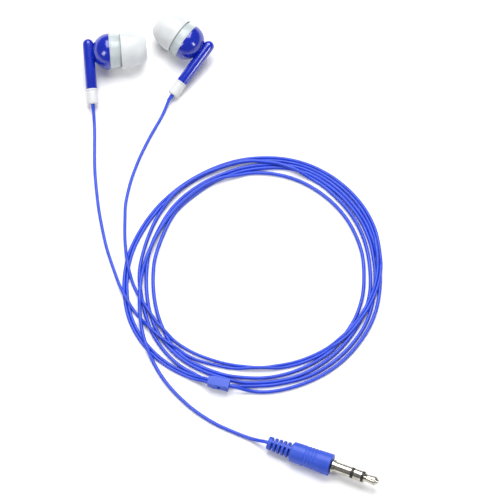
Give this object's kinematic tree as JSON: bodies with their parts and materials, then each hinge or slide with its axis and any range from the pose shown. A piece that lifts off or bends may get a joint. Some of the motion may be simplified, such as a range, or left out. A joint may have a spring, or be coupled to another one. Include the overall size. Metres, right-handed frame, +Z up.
{
  "type": "wired in-ear earphones",
  "caption": "Wired in-ear earphones with stems, silicone tips, thin leads joined at a moulded splitter, a loosely coiled cord and a 3.5 mm plug.",
  "frame": {"origin": "on the table, under the middle of the pair of earbuds", "axes": "+X to the right seen from the front, +Y away from the coil and the plug, +Z up"},
  "size_m": [0.0992, 0.1638, 0.0123],
  "materials": {
    "blue_shell": "glossy, slightly translucent",
    "clear_shell": "glossy, translucent pale",
    "steel": "fine satin",
    "silicone": "matt, translucent soft silicone",
    "black_plastic": "matt",
    "magnet": "nickel-plated",
    "copper": "enamelled copper",
    "film": "thin film",
    "felt": "felt",
    "board": "laminate with solder pads",
    "cord_jacket": "smooth semi-gloss soft jacket",
    "white_sleeve": "soft semi-matt moulding",
    "cord_moulding": "soft satin moulding",
    "white_plastic": "matt",
    "contact": "polished nickel plate"
  },
  "bodies": {
    "set": {"left_rear_housing": "blue_shell", "left_front_housing": "clear_shell", "left_nozzle_mesh": "steel", "left_driver_frame": "black_plastic", "left_driver_cover": "steel", "left_driver_yoke": "steel", "left_driver_magnet": "magnet", "left_driver_plate": "steel", "left_damping_ring": "felt", "left_terminal_board": "board", "left_wires": "copper", "left_lead_end": "cord_jacket", "left_strain_relief": "white_sleeve", "right_rear_housing": "blue_shell", "right_front_housing": "clear_shell", "right_nozzle_mesh": "steel", "right_driver_frame": "black_plastic", "right_driver_cover": "steel", "right_driver_yoke": "steel", "right_driver_magnet": "magnet", "right_driver_plate": "steel", "right_damping_ring": "felt", "right_terminal_board": "board", "right_wires": "copper", "right_lead_end": "cord_jacket", "right_strain_relief": "white_sleeve", "left_lead": "cord_jacket", "right_lead": "cord_jacket", "cord_coil": "cord_jacket", "plug_cord": "cord_jacket", "splitter_body": "cord_moulding", "splitter_core": "white_plastic", "plug_boot": "cord_moulding", "plug_core": "white_plastic", "plug_sleeve_contact": "contact", "plug_rear_insulator": "black_plastic", "plug_ring_contact": "contact", "plug_front_insulator": "black_plastic", "plug_tip_contact": "contact"},
    "left_tip": {"left_ear_tip": "silicone"},
    "left_moving_coil": {"left_diaphragm": "film", "left_voice_coil": "copper"},
    "right_tip": {"right_ear_tip": "silicone"},
    "right_moving_coil": {"right_diaphragm": "film", "right_voice_coil": "copper"}
  },
  "joints": [
    {"name": "left_tip_pull", "type": "slide", "parent": "set", "child": "left_tip", "axis": [0.9965, 0.0837, 0], "range_m": [0, 0.0018]},
    {"name": "left_diaphragm_stroke", "type": "slide", "parent": "set", "child": "left_moving_coil", "axis": [0.9965, 0.0837, 0], "range_m": [-0.00015, 0.00015], "stiffness_N_per_m": 200},
    {"name": "right_tip_pull", "type": "slide", "parent": "set", "child": "right_tip", "axis": [-0.8059, 0.5855, 0.0872], "range_m": [0, 0.00245]},
    {"name": "right_diaphragm_stroke", "type": "slide", "parent": "set", "child": "right_moving_coil", "axis": [-0.8059, 0.5855, 0.0872], "range_m": [-0.00015, 0.00015], "stiffness_N_per_m": 200}
  ]
}
